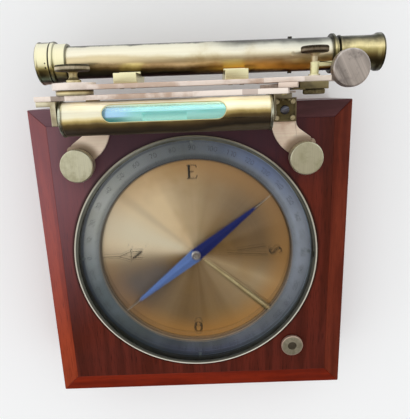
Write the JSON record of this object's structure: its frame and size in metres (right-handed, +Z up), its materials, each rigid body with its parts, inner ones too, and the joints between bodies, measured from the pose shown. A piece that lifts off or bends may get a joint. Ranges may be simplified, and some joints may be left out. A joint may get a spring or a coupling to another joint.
{
  "type": "surveyors compass",
  "caption": "Square wooden box compass with a long needle under glass and, on its back edge, a spirit level and a small sighting telescope that tilts on a graduated arc.",
  "frame": {"origin": "mouth of the tripod socket, in the plane of the underside and in the middle of the square box", "axes": "+Z up, +X along the telescope towards the eyepiece, +Y towards the telescope's side of the box"},
  "size_m": [0.2029, 0.2266, 0.1004],
  "materials": {
    "mahogany_panel": "french-polished mahogany",
    "mahogany_rail": "french-polished mahogany edge moulding",
    "mahogany_board": "oiled mahogany",
    "brass_tube": "drawn tube, lacquered, with brown wear",
    "brass_worn": "pinkish plate where the lacquer is worn",
    "brass_knob": "olive, turned and knurled",
    "brass_dark": "dark patina",
    "brass_screw": "slotted screw heads",
    "brass_bright": "bright lacquered brass",
    "dial_gilt": "radially brushed gilt dial",
    "ring_silvered": "silvered and graduated ring",
    "bezel_brass": "turned brass rim",
    "silver_scale": "silvered scale",
    "bowl_brass": "dull brass, inside the box",
    "needle_steel": "blued on one half, paler on the other",
    "steel": "bright steel",
    "knob_grey": "grey-brown patina on a turned head",
    "cover_glass": "flat plate glass",
    "lens_glass": "polished lens",
    "vial_glass": "closed glass vial",
    "spirit": "coloured spirit"
  },
  "bodies": {
    "box": {"base_board": "mahogany_board", "rail_front": "mahogany_rail", "rail_back": "mahogany_rail", "rail_left": "mahogany_rail", "rail_right": "mahogany_rail", "top_panel": "mahogany_panel", "board_screws": "brass_screw", "tripod_flange": "brass_bright", "flange_screws": "brass_screw", "compass_bowl": "bowl_brass", "dial_plate": "dial_gilt", "graduated_ring": "ring_silvered", "ring_screws": "steel", "bezel_ring": "bezel_brass", "glass_retainer": "bezel_brass", "cover_glass": "cover_glass", "pivot_pin": "steel", "fulcrum_pin": "steel", "button_bush": "brass_bright", "lift_spring": "steel", "ear_left": "brass_worn", "ear_right": "brass_worn", "ear_bushes": "brass_bright", "foot_brackets": "brass_dark", "bracket_screws": "brass_screw", "limb_plate": "brass_worn", "limb_arc": "silver_scale", "limb_screws": "brass_screw", "pivot_collar": "brass_dark", "level_tube": "brass_tube", "level_vial": "vial_glass", "level_spirit": "spirit", "level_ends": "brass_bright", "level_brackets": "brass_dark"},
    "lift_button": {"lift_button": "brass_knob"},
    "lift_lever": {"lift_lever": "brass_bright"},
    "lift_collar": {"lift_collar": "brass_bright"},
    "needle": {"needle_blade": "needle_steel", "needle_cap": "steel"},
    "ear_screw_left": {"ear_screw_left": "brass_knob"},
    "ear_screw_right": {"ear_screw_right": "brass_knob"},
    "pivot_screw": {"pivot_screw": "brass_knob"},
    "clamp": {"clamp_jaw": "brass_dark", "clamp_bracket": "brass_bright", "clamp_nut": "brass_screw"},
    "clamp_screw": {"clamp_screw": "knob_grey"},
    "tangent_screw": {"tangent_screw": "knob_grey"},
    "telescope": {"telescope_arm": "brass_worn", "vernier_plate": "silver_scale", "scope_feet": "brass_bright", "foot_screws": "brass_screw", "main_tube": "brass_tube", "objective_cell": "brass_tube", "objective_lens": "lens_glass", "reticle_ring": "bowl_brass", "reticle_screws": "steel", "rear_flange": "brass_bright"},
    "eyepiece": {"eyepiece_tube": "brass_tube", "eye_lens": "lens_glass"},
    "objective_cap": {"objective_cap": "brass_tube"}
  },
  "joints": [
    {"name": "button_press", "type": "slide", "parent": "box", "child": "lift_button", "axis": [0, 0, -1], "range_m": [0, 0.0006], "stiffness_N_per_m": 600, "springref_m": -0.0006},
    {"name": "lever_tilt", "type": "hinge", "parent": "box", "child": "lift_lever", "pos_m": [0.05194, -0.04436, 0.0385], "axis": [0.6494, 0.7604, 0], "range_deg": [0, 1.64]},
    {"name": "collar_lift", "type": "slide", "parent": "box", "child": "lift_collar", "axis": [0, 0, 1], "range_m": [0, 0.0012]},
    {"name": "needle_swing", "type": "hinge", "parent": "lift_collar", "child": "needle", "pos_m": [0, 0, 0.041], "axis": [0, 0, 1], "continuous": true},
    {"name": "left_ear_screw_turn", "type": "hinge", "parent": "box", "child": "ear_screw_left", "pos_m": [-0.067, 0.0625, 0.05], "axis": [0, 0, 1], "range_deg": [0, 720]},
    {"name": "right_ear_screw_turn", "type": "hinge", "parent": "box", "child": "ear_screw_right", "pos_m": [0.067, 0.0625, 0.05], "axis": [0, 0, 1], "range_deg": [0, 720]},
    {"name": "pivot_screw_turn", "type": "hinge", "parent": "box", "child": "pivot_screw", "pos_m": [-0.06, 0.1, 0.0655], "axis": [0, 1, 0], "range_deg": [0, 360]},
    {"name": "telescope_swing", "type": "hinge", "parent": "box", "child": "clamp", "pos_m": [-0.06, 0.1, 0.0655], "axis": [0, 1, 0], "range_deg": [-11, 11]},
    {"name": "clamp_screw_turn", "type": "hinge", "parent": "clamp", "child": "clamp_screw", "pos_m": [0.067, 0.11, 0.0655], "axis": [0, 1, 0], "range_deg": [0, 360]},
    {"name": "tangent_turn", "type": "hinge", "parent": "clamp", "child": "tangent_screw", "pos_m": [0.0844, 0.111, 0.065], "axis": [0, 0, 1], "range_deg": [-720, 720]},
    {"name": "telescope_fine", "type": "hinge", "parent": "clamp", "child": "telescope", "pos_m": [-0.06, 0.1, 0.0655], "axis": [0, 1, 0], "range_deg": [-0.56, 0.56]},
    {"name": "eyepiece_draw", "type": "slide", "parent": "telescope", "child": "eyepiece", "axis": [1, 0, 0], "range_m": [-0.0008, 0.012]},
    {"name": "cap_pull", "type": "slide", "parent": "telescope", "child": "objective_cap", "axis": [-1, 0, 0], "range_m": [0, 0.012]}
  ],
  "couplings": [
    {"joint": "lever_tilt", "follows": "button_press", "rad_per_m": 47.492},
    {"joint": "collar_lift", "follows": "button_press", "ratio": 2},
    {"joint": "telescope_fine", "follows": "tangent_turn", "ratio": 0.00077153}
  ]
}
